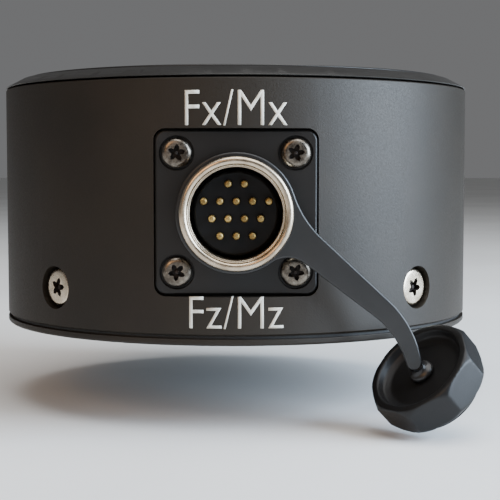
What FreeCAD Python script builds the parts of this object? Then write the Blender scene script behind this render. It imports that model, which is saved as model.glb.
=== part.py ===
import FreeCAD, Part
import math
import os
import re

import Sketcher

# Multi-axis force and torque sensor with a round plug socket and a tethered plug cap.
# Millimetres. The origin is the centre of the base's mounting face, +Z points to the tool side,
# and the socket faces -Y.

SIZES = {
    # Outer form
    "body_diameter": 80.0,
    "overall_height": 41.5,
    "wall": 3.2,
    "edge_break": 0.3,
    "base_lip": 1.0,
    "base_thickness": 9.0,
    "spigot_clearance": 0.05,
    "seal_thickness": 0.45,
    "seal_setback": 0.6,
    # Tool side
    "tool_thickness": 8.5,
    "boss_step": 0.3,
    "ring_height": 1.6,
    "ring_slope": 2.7,
    "ring_fit": 0.03,
    "ring_groove_width": 0.45,
    "ring_groove_depth": 0.7,
    "float_gap": 0.25,
    "flange_gap": 0.4,
    "lip_seal_depth": 1.4,
    "lip_seal_width": 1.6,
    "lip_seal_drop": 5.4,
    # Interfaces to the robot and to the tool
    "pilot_diameter": 31.5,
    "tool_pilot_depth": 6.0,
    "base_pilot_depth": 2.0,
    "tool_bolt_circle": 50.0,
    "base_bolt_circle": 63.0,
    "bolt_tap": 5.0,
    "tool_bolt_depth": 7.0,
    "base_bolt_depth": 7.0,
    "dowel_bore": 6.0,
    "dowel_depth": 5.0,
    "drill_point": 0.6,
    # Elastic cross
    "electronics_space": 7.8,
    "cross_ring_width": 6.5,
    "cross_ring_height": 18.0,
    "hub_radius": 12.5,
    "hub_bore": 4.5,
    "hub_underside": 15.5,
    "beam_width": 7.0,
    "beam_root_width": 11.0,
    "beam_underside": 17.5,
    "beam_depth": 8.0,
    "flexure_thickness": 1.5,
    "slot_width": 1.6,
    "slot_length": 16.0,
    "lead_notch_width": 8.4,
    "lead_notch_height": 3.5,
    "gauge_length": 4.2,
    "gauge_width": 2.4,
    "gauge_thickness": 0.15,
    "gauge_reach": 16.8,
    # Fasteners
    "screw_angle": 16.0,
    "base_screw_thread": 4.0,
    "base_screw_head": 7.0,
    "base_screw_head_height": 4.0,
    "base_screw_grip": 7.0,
    "hub_screw_circle": 17.0,
    "hub_screw_thread": 4.0,
    "hub_screw_head": 7.4,
    "hub_screw_length": 10.0,
    "thread_clearance": 0.1,
    "screw_clearance": 0.3,
    "pin_diameter": 3.0,
    "pin_depth": 3.8,
    "pin_clearance": 0.02,
    "hub_pin_seat": 1.4,
    "stop_diameter": 4.0,
    "stop_clearance": 0.15,
    "stop_reach": 4.6,
    "stop_seat": 3.0,
    "side_screw_height": 7.6,
    "side_screw_thread": 3.0,
    "side_screw_head": 5.8,
    "side_screw_head_height": 1.6,
    "side_counterbore": 6.7,
    "side_counterbore_depth": 2.2,
    "side_screw_grip": 5.0,
    # Signal board
    "board_radius": 20.5,
    "board_lift": 2.0,
    "board_thickness": 1.6,
    "board_screw_radius": 17.0,
    "board_screw_thread": 2.5,
    "board_screw_head": 4.5,
    "board_screw_head_height": 1.5,
    "board_screw_grip": 2.5,
    "spacer_diameter": 5.0,
    "chip_height": 1.2,
    "film_thickness": 0.25,
    "film_width": 7.0,
    "film_bend": 1.2,
    "header_depth": 3.6,
    "header_height": 1.5,
    # Socket plate
    "socket_height": 19.6,
    "plate_setback": 1.8,
    "plate_width": 24.0,
    "plate_height": 24.4,
    "plate_corner": 1.7,
    "plate_thickness": 1.7,
    "plate_gap": 0.15,
    "plate_seal": 0.4,
    "plate_screw_spacing": 17.5,
    "plate_screw_thread": 2.5,
    "plate_screw_head": 4.5,
    "plate_screw_head_height": 1.55,
    "plate_screw_sink": 0.7,
    "plate_screw_grip": 2.6,
    "pad_thickness": 2.9,
    "pad_margin": 1.0,
    "nut_opening": 19.0,
    # Socket
    "barrel_radius": 7.5,
    "barrel_back": 6.7,
    "shoulder_radius": 8.0,
    "shoulder_height": 2.0,
    "collar_space": 1.7,
    "lip_radius": 8.2,
    "lip_length": 3.0,
    "lip_mouth": 7.0,
    "inner_step": 0.9,
    "socket_radius": 6.7,
    "nut_radius": 9.0,
    "nut_height": 2.0,
    "insert_base": 5.9,
    "island_radius": 6.15,
    "island_height": 9.9,
    "contact_radius": 0.53,
    "contact_reach": 1.6,
    "contact_pitch": 2.35,
    "contact_row": 2.5,
    "contact_rise": 0.5,
    "solder_board": 0.8,
    "solder_tail": 0.5,
    # Tether
    "tether_thickness": 1.4,
    "tether_play": 0.15,
    "tether_bore_clearance": 0.08,
    "collar_width": 1.27,
    "strap_angle": -40.0,
    "strap_start": 6.6,
    "strap_upper_fillet": 15.0,
    "strap_lower_fillet": 4.0,
    "strap_straight": 25.0,
    "strap_root_width": 5.0,
    "strap_mid_width": 3.2,
    "strap_tip_width": 2.2,
    "strap_offset": 3.0,
    "strap_bend": 14.5,
    "strap_turn": 38.0,
    "foot_length": 2.6,
    "foot_radius": 1.9,
    "foot_plate": 0.7,
    "neck_radius": 1.15,
    "neck_clearance": 0.1,
    "button_radius": 1.9,
    "button_height": 1.0,
    "cap_play": 0.12,
    # Plug cap
    "cap_lean": 65.7,
    "cap_heading": -48.6,
    "cap_across_flats": 16.0,
    "cap_head_length": 5.3,
    "cap_edge_cone": 1.6,
    "cap_dish_radius": 7.0,
    "cap_dish_depth": 1.6,
    "cap_wall": 1.6,
    "cap_pocket_radius": 2.5,
    "plug_radius": 6.5,
    "plug_length": 1.7,
    "plug_groove_depth": 0.65,
    "o_ring_cord": 0.85,
}

os.makedirs("parts", exist_ok=True)
doc = FreeCAD.newDocument("force_torque_sensor")
sheet = doc.addObject("Spreadsheet::Sheet", "dims")
for line, (alias, length) in enumerate(SIZES.items(), start=1):
    sheet.set(f"A{line}", alias)
    sheet.set(f"B{line}", str(length))
    sheet.setAlias(f"B{line}", alias)
doc.recompute()

# Places that several pieces share
RADIUS = "(body_diameter / 2)"
INSIDE = f"({RADIUS} - wall)"
SPIGOT = f"({INSIDE} - spigot_clearance)"
FLANGE = f"({INSIDE} - flange_gap)"
SHELL_LOW = "(base_lip + seal_thickness)"
RING_TOP = "(overall_height - boss_step)"
RING_LOW = f"({RING_TOP} - ring_height)"
SHELL_TOP = f"({RING_LOW} - float_gap)"
TOOL_LOW = "(overall_height - tool_thickness)"
TOOL_FLOOR = "(overall_height - tool_pilot_depth)"
CROSS = f"({INSIDE} - electronics_space)"
CROSS_BORE = f"({CROSS} - cross_ring_width)"
CROSS_TOP = "(base_thickness + cross_ring_height)"
SCREW_CIRCLE = f"({CROSS} - cross_ring_width / 2)"
BOARD_LOW = "(base_thickness + board_lift)"
BOARD_TOP = f"({BOARD_LOW} + board_thickness)"
PLATE_FACE = f"({RADIUS} - plate_setback)"
PLATE_SCREW_REACH = "(plate_screw_spacing / sqrt(2))"
LIP_LOW = "(shoulder_height + collar_space)"
LIP_TOP = f"({LIP_LOW} + lip_length)"
ISLAND_TOP = "(island_height - barrel_back)"
TETHER_LOW = "(shoulder_height + tether_play)"
TETHER_TOP = f"({TETHER_LOW} + tether_thickness)"
TETHER_MIDDLE = f"({TETHER_LOW} + tether_thickness / 2)"
SIDE_SEAT = f"({RADIUS} - side_counterbore_depth)"


def in_sheet(formula):
    """Write the sheet's name before each size that a formula uses."""
    return re.sub(
        r"[a-z][a-z0-9_]*",
        lambda word: f"dims.{word.group()}" if word.group() in SIZES else word.group(),
        str(formula),
    )


def number(formula):
    """The present value of a formula."""
    return float(sheet.evalExpression(in_sheet(formula)))


def bind(thing, place, formula):
    """Tie one property of an object to a formula of the sheet."""
    thing.setExpression(place, in_sheet(formula))


def origin_of(body, role):
    """One of a body's own planes or axes."""
    return [item for item in body.Origin.OriginFeatures if item.Role == role][0]


def new_body(name):
    """An empty body that may hold several like solids."""
    body = doc.addObject("PartDesign::Body", name)
    body.Label = name
    body.AllowCompound = True
    return body


def new_sketch(body, name, plane, lift="0", turn="0"):
    """A sketch on one of the body's own planes, lifted along its normal and turned about the upright."""
    sketch = body.newObject("Sketcher::SketchObject", name)
    sketch.AttachmentSupport = [(origin_of(body, plane), "")]
    sketch.MapMode = "FlatFace"
    upright = FreeCAD.Vector(0, 1, 0) if plane == "XZ_Plane" else FreeCAD.Vector(0, 0, 1)
    turning = FreeCAD.Rotation(upright, number(turn))
    sketch.AttachmentOffset = FreeCAD.Placement(FreeCAD.Vector(0, 0, number(lift)), turning)
    if lift != "0":
        bind(sketch, "AttachmentOffset.Base.z", lift)
    if abs(number(turn)) > 0.001:
        bind(sketch, "AttachmentOffset.Rotation.Angle", turn)
    return sketch


def hold(sketch, kind, first, second, formula):
    """Dimension one coordinate of a sketch point from the sketch's origin."""
    if abs(number(formula)) < 1e-9:
        axis = -2 if kind == "DistanceX" else -1
        sketch.addConstraint(Sketcher.Constraint("PointOnObject", first, second, axis))
        return
    index = sketch.addConstraint(Sketcher.Constraint(kind, -1, 1, first, second, number(formula)))
    name = f"{kind}_{first}_{second}"
    sketch.renameConstraint(index, name)
    bind(sketch, f"Constraints.{name}", formula)


def arc_edge(start, end, centre, turning):
    """An arc between two points. Turning is 1 for counterclockwise and -1 for clockwise."""
    first, last = (start, end) if turning > 0 else (end, start)
    begin = math.atan2(first.y - centre.y, first.x - centre.x)
    finish = math.atan2(last.y - centre.y, last.x - centre.x)
    if finish < begin:
        finish += 2 * math.pi
    circle = Part.Circle(centre, FreeCAD.Vector(0, 0, 1), (first - centre).Length)
    return Part.ArcOfCircle(circle, begin, finish)


def outline(sketch, corners):
    """A closed outline. A corner is (x, y), or (x, y, centre, turning) where an arc leads to it."""
    spots = [FreeCAD.Vector(number(c[0]), number(c[1]), 0) for c in corners]
    ends = []
    for index, corner in enumerate(corners):
        start, end = spots[index - 1], spots[index]
        if len(corner) == 2:
            edge = sketch.addGeometry(Part.LineSegment(start, end), False)
            ends.append((edge, 1, 2))
            continue
        centre = FreeCAD.Vector(number(corner[2][0]), number(corner[2][1]), 0)
        edge = sketch.addGeometry(arc_edge(start, end, centre, corner[3]), False)
        ends.append((edge, 1, 2) if corner[3] > 0 else (edge, 2, 1))
    for index, (edge, start, end) in enumerate(ends):
        after, after_start, _ = ends[(index + 1) % len(ends)]
        sketch.addConstraint(Sketcher.Constraint("Coincident", edge, end, after, after_start))
        hold(sketch, "DistanceX", edge, end, corners[index][0])
        hold(sketch, "DistanceY", edge, end, corners[index][1])
        if len(corners[index]) == 4:
            chord = spots[index] - spots[index - 1]
            level = abs(chord.x) > abs(chord.y)
            hold(sketch, "DistanceY" if level else "DistanceX", edge, 3, corners[index][2][1 if level else 0])


def circles(sketch, rounds):
    """Circles, each given by its centre and radius."""
    for x, y, radius in rounds:
        centre = FreeCAD.Vector(number(x), number(y), 0)
        up = FreeCAD.Vector(0, 0, 1)
        edge = sketch.addGeometry(Part.Circle(centre, up, number(radius)), False)
        index = sketch.addConstraint(Sketcher.Constraint("Radius", edge, number(radius)))
        sketch.renameConstraint(index, f"radius_{edge}")
        bind(sketch, f"Constraints.radius_{edge}", radius)
        hold(sketch, "DistanceX", edge, 3, x)
        hold(sketch, "DistanceY", edge, 3, y)


def turned(body, name, corners, cut=False, axis="V_Axis", plane="XZ_Plane", lift="0", turn="0"):
    """A solid of revolution, or a revolved cut, about an axis of its own sketch."""
    sketch = new_sketch(body, f"{name}_section", plane, lift, turn)
    outline(sketch, corners)
    feature = body.newObject("PartDesign::Groove" if cut else "PartDesign::Revolution", name)
    feature.Profile = sketch
    feature.ReferenceAxis = (sketch, [axis])
    feature.Angle = 360
    body.Tip = feature
    return feature


def padded(body, name, plane, lift, length, draw, cut=False, turn="0", middle=False, back=False):
    """A straight pad or pocket of what draw puts in its sketch."""
    sketch = new_sketch(body, f"{name}_outline", plane, lift, turn)
    draw(sketch)
    feature = body.newObject("PartDesign::Pocket" if cut else "PartDesign::Pad", name)
    feature.Profile = sketch
    bind(feature, "Length", length)
    feature.Reversed = back
    if middle:
        feature.SideType = "Symmetric"
    body.Tip = feature
    return feature


def around(body, name, features, count):
    """Copies of features, evenly spaced about the body's upright axis."""
    pattern = body.newObject("PartDesign::PolarPattern", name)
    pattern.Originals = features
    pattern.Axis = (origin_of(body, "Z_Axis"), [""])
    pattern.Angle = 360
    pattern.Occurrences = count
    body.Tip = pattern
    return pattern


def revolved_on(body, name, sketch, low, high, cut=False):
    """Revolve a sketch, or cut with it, about a line between two of its points."""
    ends = [FreeCAD.Vector(number(x), number(y), 0) for x, y in (low, high)]
    axis = sketch.addGeometry(Part.LineSegment(*ends), True)
    for point, spot in ((1, low), (2, high)):
        hold(sketch, "DistanceX", axis, point, spot[0])
        hold(sketch, "DistanceY", axis, point, spot[1])
    feature = body.newObject("PartDesign::Groove" if cut else "PartDesign::Revolution", name)
    feature.Profile = sketch
    feature.ReferenceAxis = (sketch, ["Axis0"])
    feature.Angle = 360
    body.Tip = feature
    return feature


def upright(body, name, reach, turn, steps, cut=False):
    """A round hole or peg whose axis stands at a reach from the centre. Steps are (radius, height)."""
    sketch = new_sketch(body, f"{name}_section", "XZ_Plane", "0", turn)
    corners = [(reach, steps[0][1])]
    corners += [(f"({reach} + {radius})", height) for radius, height in steps]
    corners += [(reach, steps[-1][1])]
    outline(sketch, corners)
    return revolved_on(body, name, sketch, corners[0], corners[-1], cut)


def radial_steps(steps):
    """Corners of half the section of a peg or hole along the sketch's level axis. Steps are (reach, radius)."""
    return [(steps[0][0], "0"), *steps, (steps[-1][0], "0")]


def rectangle(left, low, right, high):
    """Draws a rectangle."""
    return lambda sketch: outline(sketch, [(left, low), (right, low), (right, high), (left, high)])


def rounded_rectangle(width, height, corner, middle="0"):
    """Draws a rectangle with round corners, its middle at a height above the sketch's origin."""
    def draw(sketch):
        x = f"({width} / 2)"
        inner = f"({x} - {corner})"
        high, low = f"({middle} + {height} / 2)", f"({middle} - {height} / 2)"
        soft_high, soft_low = f"({high} - {corner})", f"({low} + {corner})"
        outline(sketch, [
            (inner, high),
            (x, soft_high, (inner, soft_high), -1),
            (x, soft_low),
            (inner, low, (inner, soft_low), -1),
            (f"-{inner}", low),
            (f"-{x}", soft_low, (f"-{inner}", soft_low), -1),
            (f"-{x}", soft_high),
            (f"-{inner}", high, (f"-{inner}", soft_high), -1),
        ])
    return draw


def round_over(body, name, feature, chosen, radius, kind="Fillet"):
    """Round or bevel the chosen edges of a feature."""
    doc.recompute()
    edges = [f"Edge{i}" for i, edge in enumerate(feature.Shape.Edges, start=1) if chosen(edge.BoundBox)]
    if not edges:
        raise RuntimeError(f"{name} finds no edge")
    dress = body.newObject(f"PartDesign::{kind}", name)
    dress.Base = (feature, edges)
    bind(dress, "Radius" if kind == "Fillet" else "Size", radius)
    body.Tip = dress
    return dress


def at_height(height, reach=None):
    """Picks level edges at a height, where asked those that reach at least so far from the axis."""
    def chosen(box):
        level = abs(box.ZMin - height) < 1e-4 and abs(box.ZMax - height) < 1e-4
        wide = reach is None or max(abs(box.XMin), abs(box.XMax)) > reach - 1e-4
        return level and wide
    return chosen


def on_socket_axis(body):
    """Stand a body's upright on the socket's axis, outwards, from the plate's face."""
    quarter = FreeCAD.Rotation(FreeCAD.Vector(1, 0, 0), 90)
    body.Placement = FreeCAD.Placement(
        FreeCAD.Vector(0, -number(PLATE_FACE), number("socket_height")), quarter
    )
    bind(body, "Placement.Base.y", f"-{PLATE_FACE}")
    bind(body, "Placement.Base.z", "socket_height")


# Base and housing

def base_flange():
    """Round base with the robot side's bolt circle, pilot recess and dowel hole."""
    body = new_body("base_flange")
    pilot = "(pilot_diameter / 2)"
    turned(body, "blank", [
        ("0", "base_pilot_depth"),
        (pilot, "base_pilot_depth"),
        (pilot, "0"),
        (f"({RADIUS} - edge_break)", "0"),
        (RADIUS, "edge_break"),
        (RADIUS, "base_lip"),
        (SPIGOT, "base_lip"),
        (SPIGOT, "(base_thickness - edge_break)"),
        (f"({SPIGOT} - edge_break)", "base_thickness"),
        ("0", "base_thickness"),
    ])
    tapped = "(bolt_tap / 2)"
    bolts = upright(body, "bolt_hole", "(base_bolt_circle / 2)", "0", [
        (tapped, "0"),
        (tapped, "base_bolt_depth"),
        ("0.01", "(base_bolt_depth + drill_point * bolt_tap / 2)"),
    ], cut=True)
    around(body, "bolt_holes", [bolts], 4)
    upright(body, "dowel_hole", "(base_bolt_circle / 2)", "45", [
        ("(dowel_bore / 2)", "0"),
        ("(dowel_bore / 2)", "dowel_depth"),
    ], cut=True)
    head = "(base_screw_head / 2 + screw_clearance)"
    shank = "(base_screw_thread / 2 + screw_clearance / 2)"
    pairs = []
    for side in ("-", ""):
        pairs.append(upright(body, f"element_screw_hole_{len(pairs)}", SCREW_CIRCLE, f"({side}screw_angle)", [
            (head, "0"),
            (head, "(base_screw_head_height + screw_clearance)"),
            (shank, "(base_screw_head_height + screw_clearance)"),
            (shank, "base_thickness"),
        ], cut=True))
    around(body, "element_screw_holes", pairs, 4)
    pin = upright(body, "pin_hole", SCREW_CIRCLE, "0", [
        ("(pin_diameter / 2)", "(base_thickness - pin_depth)"),
        ("(pin_diameter / 2)", "base_thickness"),
    ], cut=True)
    around(body, "pin_holes", [pin], 2)
    board = upright(body, "board_screw_hole", "board_screw_radius", "90", [
        ("(board_screw_thread / 2 + thread_clearance)", "(base_thickness - board_screw_grip - drill_point)"),
        ("(board_screw_thread / 2 + thread_clearance)", "base_thickness"),
    ], cut=True)
    around(body, "board_screw_holes", [board], 3)
    side = turned(body, "side_screw_hole", radial_steps([
        (f"({SPIGOT} - side_screw_grip - drill_point)", "(side_screw_thread / 2 + thread_clearance)"),
        (f"({SPIGOT} + edge_break)", "(side_screw_thread / 2 + thread_clearance)"),
    ]), cut=True, axis="H_Axis", plane="XY_Plane", lift="side_screw_height", turn="45")
    around(body, "side_screw_holes", [side], 4)
    seat = f"({PLATE_FACE} - plate_thickness - plate_seal)"
    half = "(plate_width / 2 + pad_margin)"
    padded(body, "plate_relief", "XZ_Plane", f"({seat} - plate_gap)", "wall",
           rectangle(f"-{half}", "(socket_height - plate_height / 2 - 2 * plate_gap)",
                     half, "(base_thickness + edge_break)"), cut=True, back=True)
    return body


def base_gasket():
    """Flat ring between the base's lip and the housing, set back from the outer wall."""
    body = new_body("base_gasket")
    inner = f"({INSIDE} + edge_break)"
    outer = f"({RADIUS} - seal_setback)"
    turned(body, "ring", [
        (inner, "base_lip"),
        (outer, "base_lip"),
        (outer, SHELL_LOW),
        (inner, SHELL_LOW),
    ])
    return body


def housing_shell():
    """Turned tube with a milled recess for the socket plate and an inner pad that takes its screws."""
    body = new_body("housing_shell")
    turned(body, "tube", [
        (INSIDE, SHELL_LOW),
        (f"({RADIUS} - edge_break)", SHELL_LOW),
        (RADIUS, f"({SHELL_LOW} + edge_break)"),
        (RADIUS, f"({SHELL_TOP} - edge_break / 2)"),
        (f"({RADIUS} - edge_break / 2)", SHELL_TOP),
        (INSIDE, SHELL_TOP),
    ])
    seat = f"({PLATE_FACE} - plate_thickness - plate_seal)"
    half = "(plate_width / 2 + pad_margin)"
    pad_low = "(base_thickness + 0.2 * pad_margin)"
    pad_high = f"({TOOL_LOW} - 0.8 * pad_margin)"
    padded(body, "inner_pad", "XZ_Plane", f"({seat} - pad_thickness)",
           f"({INSIDE} + wall / 4 - {seat} + pad_thickness)",
           rectangle(f"-{half}", pad_low, half, pad_high))

    recess = rounded_rectangle("(plate_width + 2 * plate_gap)", "(plate_height + 2 * plate_gap)",
                               "plate_corner", "socket_height")
    padded(body, "plate_recess", "XZ_Plane", seat, "wall * 2", recess, cut=True, back=True)
    padded(body, "nut_hole", "XZ_Plane", f"({seat} - pad_thickness - wall)", "(pad_thickness + wall * 2)",
           lambda sketch: circles(sketch, [("0", "socket_height", "(nut_opening / 2)")]), cut=True, back=True)

    def plate_taps(sketch):
        """Four tapped holes at the plate's corners."""
        x = "(plate_screw_spacing / 2)"
        radius = "(plate_screw_thread / 2 + thread_clearance)"
        circles(sketch, [
            (f"{side_x}{x}", f"(socket_height {side_y} {x})", radius)
            for side_x in ("-", "") for side_y in ("-", "+")
        ])

    padded(body, "plate_taps", "XZ_Plane", f"({seat} - pad_thickness - wall)", "(pad_thickness + wall * 2)",
           plate_taps, cut=True, back=True)
    side = turned(body, "side_screw_hole", radial_steps([
        (f"({INSIDE} - wall)", "(side_screw_thread / 2 + screw_clearance / 2)"),
        (SIDE_SEAT, "(side_screw_thread / 2 + screw_clearance / 2)"),
        (SIDE_SEAT, "(side_counterbore / 2)"),
        (f"({RADIUS} + wall)", "(side_counterbore / 2)"),
    ]), cut=True, axis="H_Axis", plane="XY_Plane", lift="side_screw_height", turn="45")
    around(body, "side_screw_holes", [side], 4)
    return body


# Tool side

def tool_flange():
    """Floating disc with the tool side's bolt circle, pilot recess and dowel hole."""
    body = new_body("tool_flange")
    seal_low = f"(overall_height - lip_seal_drop)"
    seal_high = f"({seal_low} + lip_seal_width)"
    seal_floor = f"({FLANGE} - lip_seal_depth)"
    pilot = "(pilot_diameter / 2)"
    turned(body, "blank", [
        ("0", TOOL_LOW),
        (f"({FLANGE} - edge_break)", TOOL_LOW),
        (FLANGE, f"({TOOL_LOW} + edge_break)"),
        (FLANGE, seal_low),
        (seal_floor, seal_low),
        (seal_floor, seal_high),
        (FLANGE, seal_high),
        (FLANGE, "(overall_height - edge_break / 2)"),
        (f"({FLANGE} - edge_break / 2)", "overall_height"),
        (f"({pilot} + edge_break)", "overall_height"),
        (pilot, "(overall_height - edge_break)"),
        (pilot, TOOL_FLOOR),
        ("0", TOOL_FLOOR),
    ])
    tapped = "(bolt_tap / 2)"
    bolt = upright(body, "bolt_hole", "(tool_bolt_circle / 2)", "45", [
        ("0.01", "(overall_height - tool_bolt_depth - drill_point * bolt_tap / 2)"),
        (tapped, "(overall_height - tool_bolt_depth)"),
        (tapped, "overall_height"),
    ], cut=True)
    around(body, "bolt_holes", [bolt], 4)
    upright(body, "dowel_hole", "(tool_bolt_circle / 2)", "0", [
        ("(dowel_bore / 2)", "(overall_height - dowel_depth)"),
        ("(dowel_bore / 2)", "overall_height"),
    ], cut=True)
    head = "(hub_screw_head / 2 + thread_clearance)"
    shank = "(hub_screw_thread / 2 + screw_clearance / 2)"
    hub_screw = upright(body, "hub_screw_hole", "(hub_screw_circle / 2)", "0", [
        (shank, TOOL_LOW),
        (shank, f"({TOOL_FLOOR} - {head} + {shank})"),
        (head, TOOL_FLOOR),
    ], cut=True)
    around(body, "hub_screw_holes", [hub_screw], 6)
    pin = upright(body, "pin_hole", "(hub_screw_circle / 2)", "30", [
        ("(pin_diameter / 2)", TOOL_LOW),
        ("(pin_diameter / 2)", f"({TOOL_LOW} + hub_pin_seat)"),
    ], cut=True)
    around(body, "pin_holes", [pin], 2)
    stop = upright(body, "stop_hole", SCREW_CIRCLE, "0", [
        ("(stop_diameter / 2)", TOOL_LOW),
        ("(stop_diameter / 2)", f"({TOOL_LOW} + stop_seat)"),
    ], cut=True)
    around(body, "stop_holes", [stop], 4)
    return body


def top_ring():
    """Sloped ring pressed on the floating flange. It hides the gap and throws off dirt."""
    body = new_body("top_ring")
    inner = f"({FLANGE} + ring_fit)"
    groove = f"({inner} + ring_groove_width)"
    turned(body, "ring", [
        (inner, RING_LOW),
        (f"({RADIUS} - edge_break / 2)", RING_LOW),
        (RADIUS, f"({RING_LOW} + edge_break / 2)"),
        (f"({RADIUS} - ring_slope)", RING_TOP),
        (groove, RING_TOP),
        (groove, f"({RING_TOP} - ring_groove_depth)"),
        (inner, f"({RING_TOP} - ring_groove_depth)"),
    ])
    return body


def flange_seal():
    """Soft ring in the floating flange's groove, with a thin lip that brushes the housing."""
    body = new_body("flange_seal")
    low = f"(overall_height - lip_seal_drop + spigot_clearance)"
    high = f"({low} + lip_seal_width - 2 * spigot_clearance)"
    root = f"({FLANGE} - lip_seal_depth + spigot_clearance)"
    lip = f"({INSIDE} - spigot_clearance)"
    turned(body, "ring", [
        (root, low),
        (f"({FLANGE} - spigot_clearance)", low),
        (lip, f"({low} + lip_seal_width / 2)"),
        (lip, f"({high} - lip_seal_width / 4)"),
        (f"({FLANGE} - spigot_clearance)", high),
        (root, high),
    ])
    return body


# Elastic cross and its gauges

def sensing_element():
    """One-piece elastic cross: hub, four beams and a ring whose slots leave thin flexures."""
    body = new_body("sensing_element")
    turned(body, "hub", [
        ("hub_bore", "hub_underside"),
        ("(hub_radius - edge_break)", "hub_underside"),
        ("hub_radius", "(hub_underside + edge_break)"),
        ("hub_radius", TOOL_LOW),
        ("hub_bore", TOOL_LOW),
    ])
    root, tip = "(hub_radius - 1.5)", f"({CROSS_BORE} + flexure_thickness / 2)"
    neck = "(hub_radius + (beam_root_width - beam_width) / 2)"
    half, wide = "(beam_width / 2)", "(beam_root_width / 2)"

    def beam(sketch):
        """A beam that widens where it joins the hub."""
        outline(sketch, [
            (root, f"-{wide}"),
            ("hub_radius", f"-{wide}"),
            (neck, f"-{half}"),
            (tip, f"-{half}"),
            (tip, half),
            (neck, half),
            ("hub_radius", wide),
            (root, wide),
        ])

    first = padded(body, "beam", "XY_Plane", "beam_underside", "beam_depth", beam, turn="45")
    around(body, "beams", [first], 4)
    turned(body, "outer_ring", [
        (CROSS_BORE, "base_thickness"),
        (CROSS, "base_thickness"),
        (CROSS, f"({CROSS_TOP} - edge_break)"),
        (f"({CROSS} - edge_break)", CROSS_TOP),
        (CROSS_BORE, CROSS_TOP),
    ])
    slot_near = f"({CROSS_BORE} + flexure_thickness)"
    slot_far = f"({slot_near} + slot_width)"
    end = "(slot_length / 2)"

    def slot(sketch):
        """A round-ended slot behind each beam."""
        middle = f"({slot_near} + slot_width / 2)"
        outline(sketch, [
            (slot_near, f"-{end}"),
            (slot_far, f"-{end}", (middle, f"-{end}"), 1),
            (slot_far, end),
            (slot_near, end, (middle, end), 1),
        ])

    cut = padded(body, "slot", "XY_Plane", CROSS_TOP, "cross_ring_height", slot, cut=True, turn="45")
    around(body, "slots", [cut], 4)
    padded(body, "lead_notch", "XZ_Plane", f"({CROSS_BORE} - 2)", "(cross_ring_width + 4)",
           rectangle("(-lead_notch_width / 2)", "base_thickness", "(lead_notch_width / 2)",
                     "(base_thickness + lead_notch_height)"), cut=True, back=True)
    tapped = "(base_screw_thread / 2)"
    pairs = []
    for side in ("-", ""):
        pairs.append(upright(body, f"tap_{len(pairs)}", SCREW_CIRCLE, f"({side}screw_angle)", [
            (tapped, "base_thickness"),
            (tapped, "(base_thickness + base_screw_grip + 1)"),
            ("0.01", "(base_thickness + base_screw_grip + 1 + drill_point * base_screw_thread / 2)"),
        ], cut=True))
    around(body, "taps", pairs, 4)
    pin = upright(body, "pin_hole", SCREW_CIRCLE, "0", [
        ("(pin_diameter / 2)", "base_thickness"),
        ("(pin_diameter / 2)", "(base_thickness + pin_depth)"),
    ], cut=True)
    around(body, "pin_holes", [pin], 2)
    stop = upright(body, "stop_hole", SCREW_CIRCLE, "0", [
        ("(stop_diameter / 2 + stop_clearance)", f"({CROSS_TOP} - stop_reach - 0.5)"),
        ("(stop_diameter / 2 + stop_clearance)", CROSS_TOP),
    ], cut=True)
    around(body, "stop_holes", [stop], 4)
    hub_tap = upright(body, "hub_tap", "(hub_screw_circle / 2)", "0", [
        ("(hub_screw_thread / 2)", f"({TOOL_LOW} - hub_screw_length)"),
        ("(hub_screw_thread / 2)", TOOL_LOW),
    ], cut=True)
    around(body, "hub_taps", [hub_tap], 6)
    hub_pin = upright(body, "hub_pin_hole", "(hub_screw_circle / 2)", "30", [
        ("(pin_diameter / 2)", f"({TOOL_LOW} - pin_depth)"),
        ("(pin_diameter / 2)", TOOL_LOW),
    ], cut=True)
    around(body, "hub_pin_holes", [hub_pin], 2)
    return body


def strain_gauges():
    """Foil gauges on the four faces of each beam, close to its flexure."""
    body = new_body("strain_gauges")
    near, far = "gauge_reach", "(gauge_reach + gauge_length)"
    half = "(gauge_width / 2)"
    face = rectangle(near, f"-{half}", far, half)
    top = padded(body, "top_gauge", "XY_Plane", "(beam_underside + beam_depth)", "gauge_thickness",
                 face, turn="45")
    low = padded(body, "low_gauge", "XY_Plane", "(beam_underside - gauge_thickness)", "gauge_thickness",
                 face, turn="45")
    flank_low = f"(beam_underside + beam_depth / 2 - {half})"
    flank = "(beam_width / 2 + gauge_thickness)"
    right = padded(body, "right_gauge", "XY_Plane", flank_low, "gauge_width",
                   rectangle(near, "(beam_width / 2)", far, flank), turn="45")
    left = padded(body, "left_gauge", "XY_Plane", flank_low, "gauge_width",
                  rectangle(near, f"-{flank}", far, "(-beam_width / 2)"), turn="45")
    around(body, "gauges", [top, low, right, left], 4)
    return body


def gauge_leads():
    """Four film strips from the gauges down to the signal board."""
    body = new_body("gauge_leads")
    top = "(beam_underside - gauge_thickness)"
    under = f"({top} - film_thickness)"
    far = "(gauge_reach + gauge_length / 2)"
    back = f"({far} - film_thickness)"

    def strip(sketch):
        """An angle under the gauge."""
        outline(sketch, [
            ("gauge_reach", under),
            (back, under),
            (back, BOARD_TOP),
            (far, BOARD_TOP),
            (far, top),
            ("gauge_reach", top),
        ])

    first = padded(body, "lead", "XZ_Plane", "0", "gauge_width", strip, turn="45", middle=True)
    around(body, "leads", [first], 4)
    return body


# Signal board

def amplifier_board():
    """Round circuit board inside the elastic ring."""
    body = new_body("amplifier_board")
    padded(body, "disc", "XY_Plane", BOARD_LOW, "board_thickness",
           lambda sketch: circles(sketch, [("0", "0", "board_radius")]))
    hole = upright(body, "screw_hole", "board_screw_radius", "90", [
        ("(board_screw_thread / 2 + screw_clearance / 2)", BOARD_LOW),
        ("(board_screw_thread / 2 + screw_clearance / 2)", BOARD_TOP),
    ], cut=True)
    around(body, "screw_holes", [hole], 3)
    return body


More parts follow.
